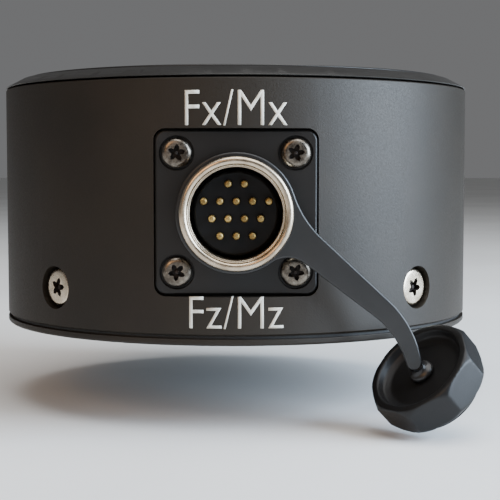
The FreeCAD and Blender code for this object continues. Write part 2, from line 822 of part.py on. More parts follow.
def board_spacers():
    """Three short tubes that carry the board."""
    body = new_body("board_spacers")
    reach = "board_screw_radius"
    tube = upright(body, "tube", reach, "90", [
        ("(spacer_diameter / 2)", "base_thickness"),
        ("(spacer_diameter / 2)", BOARD_LOW),
    ])
    bore = upright(body, "bore", reach, "90", [
        ("(board_screw_thread / 2 + thread_clearance)", "base_thickness"),
        ("(board_screw_thread / 2 + thread_clearance)", BOARD_LOW),
    ], cut=True)
    around(body, "spacers", [tube, bore], 3)
    return body


def board_screws():
    """Three small screws through board and spacers into the base."""
    body = new_body("board_screws")
    screw = upright(body, "screw", "board_screw_radius", "90", [
        ("(board_screw_thread / 2)", "(base_thickness - board_screw_grip)"),
        ("(board_screw_thread / 2)", BOARD_TOP),
        ("(board_screw_head / 2)", BOARD_TOP),
        ("(board_screw_head / 2)", f"({BOARD_TOP} + board_screw_head_height / 2)"),
        ("(board_screw_head / 3)", f"({BOARD_TOP} + board_screw_head_height)"),
    ])
    around(body, "screws", [screw], 3)
    return body


def signal_chips():
    """A processor in the middle of the board and four converters round it."""
    body = new_body("signal_chips")
    padded(body, "processor", "XY_Plane", BOARD_TOP, "chip_height", rectangle("-3.5", "-3.5", "3.5", "3.5"))
    first = padded(body, "converter", "XY_Plane", BOARD_TOP, "chip_height", rectangle("7.5", "-3", "12", "3"))
    around(body, "converters", [first], 4)
    return body


def film_header():
    """Flat connector under the board's front edge, where the ribbon plugs in."""
    body = new_body("film_header")
    half = "(film_width / 2 + 0.6)"
    back = f"-({CROSS_BORE} - 2.6)"
    padded(body, "block", "XY_Plane", f"({BOARD_LOW} - header_height)", "header_height",
           rectangle(f"-{half}", back, half, f"({back} + header_depth)"))
    return body


def ribbon_film():
    """Flat ribbon from the back of the socket, down and through the ring's notch to the board."""
    body = new_body("ribbon_film")
    solder_back = f"-({PLATE_FACE} - barrel_back - solder_board)"
    wall_side = f"({solder_back} + film_thickness)"
    level = f"({BOARD_LOW} - header_height / 2)"
    top_level = f"({level} + film_thickness)"
    top = "(socket_height - socket_radius + 2)"
    header = f"-({CROSS_BORE} - 2.6)"
    turn_x, turn_z = f"({solder_back} + film_bend)", f"({level} + film_bend)"

    def path(sketch):
        """The ribbon's bent side view."""
        outline(sketch, [
            (solder_back, top),
            (solder_back, turn_z),
            (turn_x, level, (turn_x, turn_z), 1),
            (header, level),
            (header, top_level),
            (turn_x, top_level),
            (wall_side, turn_z, (turn_x, turn_z), -1),
            (wall_side, top),
        ])

    padded(body, "ribbon", "YZ_Plane", "0", "film_width", path, middle=True)
    return body


# Fasteners

def element_screws():
    """Eight socket-head screws from the base into the elastic ring."""
    body = new_body("element_screws")
    pairs = []
    head_low = "screw_clearance"
    head_top = "(base_screw_head_height + screw_clearance)"
    shank = "(base_screw_thread / 2 - thread_clearance)"
    socket = "(base_screw_head / 4)"
    for side in ("-", ""):
        pairs.append(upright(body, f"screw_{len(pairs)}", SCREW_CIRCLE, f"({side}screw_angle)", [
            (socket, f"({head_low} + base_screw_head_height / 2)"),
            (socket, head_low),
            ("(base_screw_head / 2 - edge_break)", head_low),
            ("(base_screw_head / 2)", f"({head_low} + edge_break)"),
            ("(base_screw_head / 2)", head_top),
            (shank, head_top),
            (shank, "(base_thickness + base_screw_grip)"),
        ]))
    around(body, "screws", pairs, 4)
    return body


def hub_screws():
    """Six countersunk screws that hold the floating flange on the hub."""
    body = new_body("hub_screws")
    head = "(hub_screw_head / 2)"
    shank = "(hub_screw_thread / 2 - thread_clearance)"
    top = f"({TOOL_FLOOR} - thread_clearance)"
    socket = "(hub_screw_thread / 3)"
    screw = upright(body, "screw", "(hub_screw_circle / 2)", "0", [
        (shank, f"({TOOL_LOW} - hub_screw_length + 1)"),
        (shank, f"({top} - {head} + {shank})"),
        (head, top),
        (socket, top),
        (socket, f"({top} - 1.2)"),
    ])
    around(body, "screws", [screw], 6)
    return body


def locating_pins():
    """Two dowels between base and ring, and two between hub and floating flange."""
    body = new_body("locating_pins")
    radius = "(pin_diameter / 2 - pin_clearance)"
    low = upright(body, "base_pin", SCREW_CIRCLE, "0", [
        (radius, "(base_thickness - pin_depth + 0.1)"),
        (radius, "(base_thickness + pin_depth - 0.1)"),
    ])
    high = upright(body, "hub_pin", "(hub_screw_circle / 2)", "30", [
        (radius, f"({TOOL_LOW} - pin_depth + 0.1)"),
        (radius, f"({TOOL_LOW} + hub_pin_seat - 0.1)"),
    ])
    around(body, "pins", [low, high], 2)
    return body


def stop_pins():
    """Four overload stops, pressed in the floating flange, that reach into wide holes of the ring."""
    body = new_body("stop_pins")
    pin = upright(body, "pin", SCREW_CIRCLE, "0", [
        ("(stop_diameter / 2 - edge_break)", f"({CROSS_TOP} - stop_reach)"),
        ("(stop_diameter / 2 - pin_clearance)", f"({CROSS_TOP} - stop_reach + edge_break)"),
        ("(stop_diameter / 2 - pin_clearance)", f"({TOOL_LOW} + stop_seat - 0.1)"),
    ])
    around(body, "pins", [pin], 4)
    return body


def dome_centre(rim_radius, rim_height, top):
    """Height of the centre of a dome over a round rim."""
    rise = f"({top} - {rim_height})"
    return f"({top} - ({rim_radius} * {rim_radius} + {rise} * {rise}) / (2 * {rise}))"


def side_screws():
    """Four pan-head screws through the housing into the base."""
    body = new_body("side_screws")
    top = f"({SIDE_SEAT} + side_screw_head_height)"
    crown = f"({SIDE_SEAT} + side_screw_head_height * 0.5)"
    tip = f"({SPIGOT} - side_screw_grip)"
    level = "side_screw_height"
    head = "(side_screw_head / 2)"
    shank_high = "(side_screw_height + side_screw_thread / 2)"
    head_high = f"({level} + {head})"
    sketch = new_sketch(body, "screw_section", "XZ_Plane", "0", "45")
    outline(sketch, [
        (tip, level),
        (tip, shank_high),
        (SIDE_SEAT, shank_high),
        (SIDE_SEAT, head_high),
        (crown, head_high),
        (top, f"({level} + edge_break)", (dome_centre(head, crown, top), level), -1),
        (top, level),
    ])
    screw = revolved_on(body, "screw", sketch, (tip, level), (top, level))
    around(body, "screws", [screw], 4)
    return body


def plate_screws():
    """Four pan-head screws at the corners of the socket plate."""
    body = new_body("plate_screws")
    on_socket_axis(body)
    seat = "-plate_screw_sink"
    head = "(plate_screw_head / 2)"
    shank = "(plate_screw_thread / 2)"
    reach = PLATE_SCREW_REACH
    sketch = new_sketch(body, "screw_section", "XZ_Plane", "0", "45")
    tip = "(-plate_thickness - plate_seal - plate_screw_grip)"
    crown = f"({seat} + plate_screw_head_height * 0.5)"
    top = f"({seat} + plate_screw_head_height)"
    outline(sketch, [
        (reach, tip),
        (f"({reach} + {shank})", tip),
        (f"({reach} + {shank})", seat),
        (f"({reach} + {head})", seat),
        (f"({reach} + {head})", crown),
        (f"({reach} + edge_break)", top, (reach, dome_centre(head, crown, top)), 1),
        (reach, top),
    ])
    screw = revolved_on(body, "screw", sketch, (reach, tip), (reach, top))
    around(body, "screws", [screw], 4)
    return body


# Socket

def connector_plate():
    """Near-square plate with bevelled edges, four counterbores and the socket's hole."""
    body = new_body("connector_plate")
    on_socket_axis(body)
    slab = padded(body, "slab", "XY_Plane", "-plate_thickness", "plate_thickness",
                  rounded_rectangle("plate_width", "plate_height", "plate_corner"))
    round_over(body, "bevel", slab, at_height(0.0), "edge_break", kind="Chamfer")
    upright(body, "barrel_hole", "0", "0", [
        ("(barrel_radius + spigot_clearance)", "-plate_thickness"),
        ("(barrel_radius + spigot_clearance)", "0"),
    ], cut=True)
    head = "(plate_screw_head / 2 + screw_clearance)"
    shank = "(plate_screw_thread / 2 + screw_clearance / 2)"
    hole = upright(body, "screw_hole", PLATE_SCREW_REACH, "45", [
        (shank, "-plate_thickness"),
        (shank, "-plate_screw_sink"),
        (head, "-plate_screw_sink"),
        (head, "0"),
    ], cut=True)
    around(body, "screw_holes", [hole], 4)
    return body


def plate_gasket():
    """Thin seal behind the plate."""
    body = new_body("plate_gasket")
    on_socket_axis(body)
    margin = "(2 * plate_gap)"
    padded(body, "sheet", "XY_Plane", "(-plate_thickness - plate_seal)", "plate_seal",
           rounded_rectangle(f"(plate_width - {margin})", f"(plate_height - {margin})", "plate_corner"))
    upright(body, "opening", "0", "0", [
        ("(nut_opening / 2)", "(-plate_thickness - plate_seal)"),
        ("(nut_opening / 2)", "-plate_thickness"),
    ], cut=True)
    hole = upright(body, "screw_hole", PLATE_SCREW_REACH, "45", [
        ("(plate_screw_thread / 2 + screw_clearance / 2)", "(-plate_thickness - plate_seal)"),
        ("(plate_screw_thread / 2 + screw_clearance / 2)", "-plate_thickness"),
    ], cut=True)
    around(body, "screw_holes", [hole], 4)
    return body


def connector_shell():
    """Turned socket shell: threaded barrel, shoulder, neck for the tether and a rounded lip."""
    body = new_body("connector_shell")
    on_socket_axis(body)
    nose = "((lip_radius - lip_mouth) / 2)"
    nose_low = f"({LIP_TOP} - {nose})"
    turned(body, "shell", [
        ("socket_radius", "-barrel_back"),
        ("barrel_radius", "-barrel_back"),
        ("barrel_radius", "0"),
        ("shoulder_radius", "0"),
        ("shoulder_radius", "shoulder_height"),
        ("barrel_radius", "shoulder_height"),
        ("barrel_radius", LIP_LOW),
        ("(lip_radius - edge_break)", LIP_LOW),
        ("lip_radius", f"({LIP_LOW} + edge_break)"),
        ("lip_radius", nose_low),
        ("lip_mouth", nose_low, (f"(lip_mouth + {nose})", nose_low), 1),
        ("lip_mouth", f"({LIP_TOP} - inner_step)"),
        ("socket_radius", f"({LIP_TOP} - inner_step)"),
    ])
    return body


def connector_nut():
    """Round slotted nut that clamps the shell from behind the plate."""
    body = new_body("connector_nut")
    on_socket_axis(body)
    bore = "(barrel_radius + spigot_clearance)"
    low = "(-plate_thickness - nut_height)"
    turned(body, "ring", [
        (bore, low),
        ("(nut_radius - edge_break)", low),
        ("nut_radius", f"({low} + edge_break)"),
        ("nut_radius", "-plate_thickness"),
        (bore, "-plate_thickness"),
    ])
    slot = padded(body, "slot", "XY_Plane", low, "(nut_height / 2)",
                  rectangle("(barrel_radius - 1)", "-1", "(nut_radius + 1)", "1"), cut=True, back=True)
    around(body, "slots", [slot], 4)
    return body


def contact_places():
    """Centres of the fourteen contacts, in rows of two, five, four and three."""
    places = []
    for row, count in enumerate((2, 5, 4, 3)):
        height = f"(contact_rise + (1.5 - {row}) * contact_row)"
        for index in range(count):
            places.append((f"(({index} - {(count - 1) / 2}) * contact_pitch)", height))
    return places


def connector_insert():
    """Insulating body: a disc that fills the barrel and a raised island that carries the contacts."""
    body = new_body("connector_insert")
    on_socket_axis(body)
    outer = "(socket_radius - spigot_clearance)"
    step = "(insert_base - barrel_back)"
    turned(body, "block", [
        ("0", "-barrel_back"),
        (outer, "-barrel_back"),
        (outer, step),
        ("island_radius", step),
        ("island_radius", f"({ISLAND_TOP} - edge_break)"),
        ("(island_radius - edge_break)", ISLAND_TOP),
        ("0", ISLAND_TOP),
    ])
    bore = "(contact_radius + pin_clearance)"
    padded(body, "contact_holes", "XY_Plane", ISLAND_TOP, "island_height",
           lambda sketch: circles(sketch, [(x, y, bore) for x, y in contact_places()]), cut=True)
    return body


def contact_pins():
    """Fourteen round contacts with blunt tips."""
    body = new_body("contact_pins")
    on_socket_axis(body)
    low = "(-barrel_back - solder_board - solder_tail)"
    high = f"({ISLAND_TOP} + contact_reach)"
    pins = padded(body, "pins", "XY_Plane", low, f"({high} - {low})",
                  lambda sketch: circles(sketch, [(x, y, "contact_radius") for x, y in contact_places()]))
    round_over(body, "tips", pins, at_height(number(high)), "(contact_radius * 0.4)", kind="Chamfer")
    return body


def solder_board():
    """Small round board on the contacts' tails."""
    body = new_body("solder_board")
    on_socket_axis(body)
    low = "(-barrel_back - solder_board)"
    padded(body, "disc", "XY_Plane", low, "solder_board",
           lambda sketch: circles(sketch, [("0", "0", "socket_radius")]))
    bore = "(contact_radius + pin_clearance)"
    padded(body, "holes", "XY_Plane", "-barrel_back", "solder_board",
           lambda sketch: circles(sketch, [(x, y, bore) for x, y in contact_places()]), cut=True)
    return body


# Tether and plug cap. Both are drawn in the socket's frame: x to the right, y up, z outwards.

def strap_spot(along, aside):
    """A point beside the strap's straight middle line."""
    x = f"(({along}) * cos(strap_angle) - ({aside} + strap_offset) * sin(strap_angle))"
    y = f"(({along}) * sin(strap_angle) + ({aside} + strap_offset) * cos(strap_angle))"
    return x, y


def strap_bend_spot(turn, aside):
    """A point beside the strap's curved end, a turn past the straight part."""
    centre = strap_spot("strap_straight", "-strap_bend")
    reach = f"(strap_bend + {aside})"
    x = f"({centre[0]} - {reach} * sin(strap_angle - {turn}))"
    y = f"({centre[1]} + {reach} * cos(strap_angle - {turn}))"
    return x, y


def cap_turning():
    """Direction of the cap: its closed face looks up, left and outwards."""
    heading = FreeCAD.Rotation(FreeCAD.Vector(0, 0, 1), number("cap_heading"))
    lean = FreeCAD.Rotation(FreeCAD.Vector(0, 1, 0), -number("cap_lean"))
    return heading.multiply(lean)


def strap_end():
    """Middle of the strap's end, where the foot leaves it."""
    x, y = strap_bend_spot("strap_turn", "0")
    return FreeCAD.Vector(number(x), number(y), number(TETHER_MIDDLE))


def tether_strap():
    """Moulded tether: a collar round the socket's neck, a tapered strap, and a foot with a button."""
    body = new_body("tether_strap")
    on_socket_axis(body)
    bore = "(barrel_radius + tether_bore_clearance)"
    outer = f"({bore} + collar_width)"
    turned(body, "collar", [
        ("0", TETHER_LOW),
        (outer, TETHER_LOW),
        (outer, TETHER_TOP),
        ("0", TETHER_TOP),
    ], turn="90")
    root, middle, tip = "(strap_root_width / 2)", "(strap_mid_width / 2)", "(strap_tip_width / 2)"
    tip_centre = strap_bend_spot("strap_turn", "0")
    bend_centre = strap_spot("strap_straight", "-strap_bend")

    def strap(sketch):
        """The strap's outline, from inside the collar to its round end."""
        outline(sketch, [
            strap_spot("strap_start", f"-{root}"),
            strap_spot("strap_start", root),
            strap_spot("strap_straight", middle),
            (*strap_bend_spot("strap_turn", tip), bend_centre, -1),
            (*strap_bend_spot("strap_turn", f"-{tip}"), tip_centre, -1),
            (*strap_spot("strap_straight", f"-{middle}"), bend_centre, 1),
        ])

    flat = padded(body, "strap", "XY_Plane", TETHER_LOW, "tether_thickness", strap)
    reach = number(outer)

    def at_collar(upper):
        """Picks the upright edge in which one flank of the strap meets the collar."""
        def chosen(box):
            standing = box.XLength < 1e-4 and box.YLength < 1e-4
            on_collar = abs(math.hypot(box.XMin, box.YMin) - reach) < 1e-3
            return standing and on_collar and (box.YMin > -reach / 2) == upper
        return chosen

    eased = round_over(body, "upper_fillet", flat, at_collar(True), "strap_upper_fillet")
    round_over(body, "lower_fillet", eased, at_collar(False), "strap_lower_fillet")
    turned(body, "collar_bore", [
        ("0", TETHER_LOW),
        (bore, TETHER_LOW),
        (bore, TETHER_TOP),
        ("0", TETHER_TOP),
    ], cut=True)
    sketch = body.newObject("Sketcher::SketchObject", "foot_section")
    sketch.AttachmentSupport = [(origin_of(body, "XY_Plane"), "")]
    sketch.MapMode = "FlatFace"
    quarter = FreeCAD.Rotation(FreeCAD.Vector(1, 0, 0), 90)
    sketch.AttachmentOffset = FreeCAD.Placement(strap_end(), cap_turning().multiply(quarter))
    floor = "(-foot_length + cap_play)"
    wall_end = "(-foot_length - cap_wall - cap_play)"
    outline(sketch, [
        ("0", "(tether_thickness / 4)"),
        ("(foot_radius / 4)", "(tether_thickness / 4)"),
        ("(foot_radius * 0.7)", f"({floor} + foot_plate + 0.3)"),
        ("foot_radius", f"({floor} + foot_plate)"),
        ("foot_radius", floor),
        ("neck_radius", floor),
        ("neck_radius", wall_end),
        ("button_radius", wall_end),
        ("(button_radius * 0.6)", f"({wall_end} - button_height)"),
        ("0", f"({wall_end} - button_height)"),
    ])
    foot = body.newObject("PartDesign::Revolution", "foot")
    foot.Profile = sketch
    foot.ReferenceAxis = (sketch, ["V_Axis"])
    foot.Angle = 360
    body.Tip = foot
    return body


def on_cap_axis(body):
    """Stand a body's upright on the cap's axis, with its origin on the dish's floor."""
    outward = cap_turning().multVec(FreeCAD.Vector(0, 0, 1))
    dish_floor = strap_end() - outward * number("foot_length")
    quarter = FreeCAD.Rotation(FreeCAD.Vector(1, 0, 0), 90)
    socket = FreeCAD.Placement(
        FreeCAD.Vector(0, -number(PLATE_FACE), number("socket_height")), quarter
    )
    body.Placement = socket.multiply(FreeCAD.Placement(dish_floor, cap_turning()))


def cap_body():
    """Eight-sided plug cap: coned edges, a dished closed face and a short plug with a seal groove."""
    body = new_body("cap_body")
    on_cap_axis(body)
    face = "cap_dish_depth"
    back = "(cap_dish_depth - cap_head_length)"
    flat = "(cap_across_flats / 2)"
    sides = 8
    corner_reach = f"({flat} / cos({180 / sides}))"
    angles = [3 + 360 / sides * index for index in range(sides)]
    padded(body, "head", "XY_Plane", back, "cap_head_length", lambda sketch: outline(sketch, [
        (f"({corner_reach} * cos({angle}))", f"({corner_reach} * sin({angle}))") for angle in angles
    ]))
    beyond = f"({flat} + cap_edge_cone * 0.75)"
    turned(body, "front_cone", [
        (flat, face),
        (beyond, face),
        (beyond, f"({face} - cap_edge_cone)"),
    ], cut=True)
    turned(body, "back_cone", [
        (flat, back),
        (beyond, f"({back} + cap_edge_cone)"),
        (beyond, back),
    ], cut=True)
    turned(body, "dish", [
        ("0", "0"),
        ("(cap_dish_radius - 1.4)", "0"),
        ("(cap_dish_radius - 0.4)", "0.5"),
        ("cap_dish_radius", face),
        ("0", face),
    ], cut=True)
    plug_end = f"({back} - plug_length)"
    groove_low = f"({plug_end} + (plug_length - o_ring_cord) / 2 - edge_break / 4)"
    groove_high = f"({groove_low} + o_ring_cord + edge_break / 2)"
    turned(body, "plug", [
        ("0", plug_end),
        ("(plug_radius - edge_break)", plug_end),
        ("plug_radius", f"({plug_end} + edge_break)"),
        ("plug_radius", groove_low),
        ("(plug_radius - plug_groove_depth)", groove_low),
        ("(plug_radius - plug_groove_depth)", groove_high),
        ("plug_radius", groove_high),
        ("plug_radius", f"({back} + edge_break)"),
        ("0", f"({back} + edge_break)"),
    ])
    turned(body, "button_pocket", [
        ("0", plug_end),
        ("cap_pocket_radius", plug_end),
        ("cap_pocket_radius", "-cap_wall"),
        ("0", "-cap_wall"),
    ], cut=True)
    turned(body, "neck_hole", [
        ("0", "-cap_wall"),
        ("(neck_radius + neck_clearance)", "-cap_wall"),
        ("(neck_radius + neck_clearance)", "0"),
        ("0", "0"),
    ], cut=True)
    return body


def cap_seal():
    """Rubber ring in the plug's groove."""
    body = new_body("cap_seal")
    on_cap_axis(body)
    height = "(cap_dish_depth - cap_head_length - plug_length / 2)"
    centre = "(plug_radius - plug_groove_depth + o_ring_cord / 2)"
    sketch = new_sketch(body, "cord_section", "XZ_Plane")
    circles(sketch, [(centre, height, "(o_ring_cord / 2)")])
    ring = body.newObject("PartDesign::Revolution", "ring")
    ring.Profile = sketch
    ring.ReferenceAxis = (sketch, ["V_Axis"])
    ring.Angle = 360
    body.Tip = ring
    return body


PIECES = (
    base_flange, base_gasket, housing_shell, tool_flange, top_ring, flange_seal,
    sensing_element, strain_gauges, gauge_leads,
    amplifier_board, board_spacers, board_screws, signal_chips, film_header, ribbon_film,
    element_screws, hub_screws, locating_pins, stop_pins, side_screws,
    connector_plate, plate_gasket, plate_screws,
    connector_shell, connector_nut, connector_insert, contact_pins, solder_board,
    tether_strap, cap_body, cap_seal,
)
bodies = [piece() for piece in PIECES]
doc.recompute()


def check(body):
    """Stop if a feature failed, a cut removed nothing, or a body is not sound."""
    for thing in [body, *body.Group]:
        if "Invalid" in thing.State or "Error" in thing.State:
            raise RuntimeError(f"{body.Label}: {thing.Name} is {thing.State}")
        if thing.TypeId in ("PartDesign::Groove", "PartDesign::Pocket"):
            if thing.Shape.Volume > thing.BaseFeature.Shape.Volume - 1e-6:
                raise RuntimeError(f"{body.Label}: {thing.Name} cuts nothing")
    if body.Shape.isNull() or not body.Shape.isValid():
        raise RuntimeError(f"{body.Label} is not a sound shape")


for body in bodies:
    check(body)
for body in bodies:
    body.Shape.exportStep(f"parts/{body.Label}.step")
    print(body.Label, len(body.Shape.Solids), round(body.Shape.Volume, 1))
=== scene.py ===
import logging
import math
from contextlib import contextmanager
from dataclasses import dataclass, field
from enum import Enum
from typing import Callable, Iterator, Optional

import bmesh
import bpy
from mathutils import Matrix, Vector


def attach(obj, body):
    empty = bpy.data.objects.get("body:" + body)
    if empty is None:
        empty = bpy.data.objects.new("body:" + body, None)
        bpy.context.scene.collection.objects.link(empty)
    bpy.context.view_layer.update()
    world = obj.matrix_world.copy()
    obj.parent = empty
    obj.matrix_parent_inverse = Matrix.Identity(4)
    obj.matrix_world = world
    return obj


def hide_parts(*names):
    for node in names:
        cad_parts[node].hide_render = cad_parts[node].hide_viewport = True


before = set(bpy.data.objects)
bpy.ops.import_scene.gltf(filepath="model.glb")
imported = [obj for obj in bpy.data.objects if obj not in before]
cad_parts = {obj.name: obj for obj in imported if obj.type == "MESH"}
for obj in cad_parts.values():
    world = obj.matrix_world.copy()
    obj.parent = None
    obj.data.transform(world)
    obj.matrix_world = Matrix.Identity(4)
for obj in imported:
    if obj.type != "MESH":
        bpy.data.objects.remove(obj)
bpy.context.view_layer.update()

logging.basicConfig(level=logging.INFO, format="%(name)s: %(message)s")
log = logging.getLogger("sensor")

MM = 0.001
# Vertices closer than this in a CAD node's mesh are one.
MERGE = 0.002 * MM


# Colour and material nodes

def linear(hex_colour: str) -> tuple[float, float, float, float]:
    """Turn an sRGB hex colour into the linear colour that a shader socket takes.

    Args:
        hex_colour: six hex digits, red first.

    Returns:
        Linear red, green, blue and full alpha.
    """
    parts = [int(hex_colour[i:i + 2], 16) / 255 for i in (0, 2, 4)]
    bent = [c / 12.92 if c <= 0.04045 else ((c + 0.055) / 1.055) ** 2.4 for c in parts]
    return (bent[0], bent[1], bent[2], 1.0)


def add_node(tree: bpy.types.NodeTree, kind: str, settings: Optional[dict] = None,
             links: Optional[dict] = None) -> bpy.types.Node:
    """Add a node with its settings and links.

    Args:
        tree: the material's node tree.
        kind: the node's type name.
        settings: input values by socket name, and properties by attribute name.
        links: source sockets by input name.

    Returns:
        The new node.
    """
    node = tree.nodes.new(kind)
    for key, value in (settings or {}).items():
        if key in node.inputs:
            node.inputs[key].default_value = value
        else:
            setattr(node, key, value)
    for key, source in (links or {}).items():
        tree.links.new(source, node.inputs[key])
    return node


class Grain(Enum):
    """How a surface was made. It gives the stretch of its fine pattern along x, y and z."""

    EVEN = (1.0, 1.0, 1.0)
    TURNED = (0.02, 0.02, 1.0)
    FACED = (0.03, 1.0, 0.03)


@dataclass(frozen=True)
class Finish:
    """One real material with the way its surface was made."""

    name: str
    colour: str
    shade: str
    metallic: float
    roughness: float
    swing: float
    grain: Grain
    grain_mm: float
    relief_mm: float
    patch_mm: float = 6.0
    coat: float = 0.0
    specular: float = 0.5

    def material(self) -> bpy.types.Material:
        """Build the finish once and give it back on later calls."""
        known = bpy.data.materials.get(self.name)
        if known:
            return known
        made = bpy.data.materials.new(self.name)
        made.use_nodes = True
        tree = made.node_tree
        tree.nodes.clear()
        place = add_node(tree, "ShaderNodeTexCoord")
        stretch = add_node(tree, "ShaderNodeMapping", {"Scale": self.grain.value},
                           {"Vector": place.outputs["Object"]})
        fine = add_node(tree, "ShaderNodeTexNoise",
                        {"Scale": 1 / (self.grain_mm * MM), "Detail": 2.0, "Roughness": 0.6},
                        {"Vector": stretch.outputs["Vector"]})
        broad = add_node(tree, "ShaderNodeTexNoise",
                         {"Scale": 1 / (self.patch_mm * MM), "Detail": 3.0, "Roughness": 0.55},
                         {"Vector": place.outputs["Object"]})
        tone = add_node(tree, "ShaderNodeValToRGB", {}, {"Fac": broad.outputs["Fac"]})
        tone.color_ramp.elements[0].position = 0.35
        tone.color_ramp.elements[0].color = linear(self.shade)
        tone.color_ramp.elements[1].position = 0.65
        tone.color_ramp.elements[1].color = linear(self.colour)
        gloss = add_node(tree, "ShaderNodeMapRange",
                         {"From Min": 0.3, "From Max": 0.7, "To Min": self.roughness - self.swing,
                          "To Max": self.roughness + self.swing},
                         {"Value": fine.outputs["Fac"]})
        bump = add_node(tree, "ShaderNodeBump",
                        {"Strength": 0.6, "Distance": self.relief_mm * MM},
                        {"Height": fine.outputs["Fac"]})
        shader = add_node(tree, "ShaderNodeBsdfPrincipled",
                          {"Metallic": self.metallic, "Coat Weight": self.coat,
                           "Specular IOR Level": self.specular},
                          {"Base Color": tone.outputs["Color"], "Roughness": gloss.outputs["Result"],
                           "Normal": bump.outputs["Normal"]})
        add_node(tree, "ShaderNodeOutputMaterial", {}, {"Surface": shader.outputs["BSDF"]})
        return made


# Bead-blasted aluminium, black anodised: a fine even grain that scatters light softly, warm black.
# The blasting's pits are about 0.05 mm and are drawn at 0.28 mm so that they show.
BLASTED_BLACK = Finish("anodised_blasted_black", "221c14", "1c1710", 0.2, 0.52, 0.06,
                       Grain.EVEN, 0.28, 0.03, 14.0, specular=0.4)
# The same anodising on a milled plate, a touch smoother.
MILLED_BLACK = Finish("anodised_milled_black", "171513", "131211", 0.12, 0.42, 0.06,
                      Grain.EVEN, 0.16, 0.008, 9.0, specular=0.4)
# Turned and anodised ring: fine marks of the lathe run round it.
TURNED_BLACK = Finish("anodised_turned_black", "1c1a17", "191714", 0.2, 0.42, 0.08,
                      Grain.TURNED, 0.12, 0.006, 10.0)
# Black anodised cap, tumbled before anodising: satin with soft edges.
CAP_BLACK = Finish("anodised_cap_black", "131314", "0e0e0f", 0.1, 0.44, 0.07,
                   Grain.EVEN, 0.2, 0.02, 5.0, specular=0.35)
# Satin nickel plate on brass, slightly champagne where the plate is thin.
SATIN_NICKEL = Finish("nickel_satin", "cfc1ab", "a99a85", 1.0, 0.27, 0.07, Grain.FACED, 0.1, 0.003, 3.0)
# Nickel-plated steel screws, dulled and scuffed by the driver.
WORN_STEEL = Finish("steel_nickel_worn", "80796f", "4c463f", 1.0, 0.34, 0.12, Grain.EVEN, 0.3, 0.012, 1.1)
# The wall's screws: the same plate, painted lighter and faintly champagne, as painted light that stands in for
# the lamps falling on them.
PAINTED_LIT_STEEL = Finish("steel_nickel_painted_lit", "d9ccb8", "b5a894", 1.0, 0.26, 0.08, Grain.EVEN, 0.25, 0.006, 1.6)
# Painted shade for a drive recess: a near-black colour that stands in for the shade that falls inside it.
RECESS_PAINTED_SHADE = Finish("steel_recess_painted_shade", "2a211c", "120e0c", 0.4, 0.7, 0.1, Grain.EVEN, 0.2, 0.02, 0.6)
# Black-oxide alloy steel: oily dark grey.
BLACK_OXIDE = Finish("steel_black_oxide", "2c2c2e", "1c1c1e", 0.9, 0.42, 0.08, Grain.TURNED, 0.1, 0.004, 3.0)
# Thermoplastic rubber strap, moulded in a satin tool: mid grey sheen on black.
MOULDED_RUBBER = Finish("rubber_satin_moulded", "1a1a1a", "141414", 0.0, 0.36, 0.05,
                        Grain.EVEN, 0.35, 0.01, 4.0, specular=0.5)
# Nitrile rubber of the seals.
SEAL_RUBBER = Finish("rubber_nitrile", "171717", "101010", 0.0, 0.6, 0.08, Grain.EVEN, 0.2, 0.006, 3.0)
# Glass-filled insulating plastic of the insert, dark blue-grey.
INSERT_PLASTIC = Finish("plastic_insert", "08090b", "050607", 0.0, 0.55, 0.06,
                        Grain.EVEN, 0.15, 0.006, 3.0, specular=0.2)
# Hard gold on the contacts, dulled by use.
HARD_GOLD = Finish("gold_contact", "ab9460", "7d683f", 1.0, 0.48, 0.08, Grain.EVEN, 0.12, 0.004, 1.5)
# Machined aluminium of the elastic cross.
BARE_ALUMINIUM = Finish("aluminium_machined", "c9cacc", "b2b3b6", 1.0, 0.33, 0.07, Grain.TURNED, 0.1, 0.003)
# Ground steel of dowels and spacers.
GROUND_STEEL = Finish("steel_ground", "b9b8b5", "98979a", 1.0, 0.25, 0.05, Grain.TURNED, 0.08, 0.002)
# Solder mask over glass cloth, whose weave is about 0.5 mm.
SOLDER_MASK = Finish("board_solder_mask", "12452c", "0d3823", 0.0, 0.32, 0.05, Grain.EVEN, 0.5, 0.01, coat=0.3)
# Epoxy of the chips and of the film header.
CHIP_EPOXY = Finish("plastic_epoxy_black", "1c1c1d", "151516", 0.0, 0.55, 0.06, Grain.EVEN, 0.12, 0.006)
# Polyimide film, amber and glossy.
AMBER_FILM = Finish("film_polyimide", "b3701c", "8e5312", 0.0, 0.28, 0.04, Grain.EVEN, 0.6, 0.004, coat=0.4)
# Etched foil on polyimide.
GAUGE_FOIL = Finish("foil_gauge", "b98a48", "8c6430", 0.6, 0.4, 0.06, Grain.FACED, 0.25, 0.004)
# Screen-printed marking ink, off-white and matt.
MARKING_INK = Finish("ink_off_white", "dcd8cb", "c9c4b6", 0.0, 0.6, 0.05, Grain.EVEN, 0.2, 0.004, 2.0)
# Painted studio floor, pale and matt.
STUDIO_FLOOR = Finish("floor_paint", "e6e6e4", "dededc", 0.0, 0.75, 0.05, Grain.EVEN, 3.0, 0.02, 120.0)


# Selecting and editing

def only(*chosen: bpy.types.Object) -> None:
    """Select these objects alone and make the first one active.

    Args:
        chosen: the objects, the active one first.
    """
    for other in list(bpy.context.selected_objects):
        other.select_set(False)
    for item in chosen:
        item.select_set(True)
    bpy.context.view_layer.objects.active = chosen[0] if chosen else None


@contextmanager
def editing(piece: bpy.types.Object, mode: str = "FACE") -> Iterator[bmesh.types.BMesh]:
    """Open a piece in edit mode with nothing selected.

    Args:
        piece: the object.
        mode: VERT, EDGE or FACE selection.

    Yields:
        The mesh being edited.
    """
    only(piece)
    bpy.ops.object.mode_set(mode="EDIT")
    bpy.ops.mesh.select_mode(type=mode)
    bpy.ops.mesh.select_all(action="DESELECT")
    yield bmesh.from_edit_mesh(piece.data)
    bpy.ops.object.mode_set(mode="OBJECT")


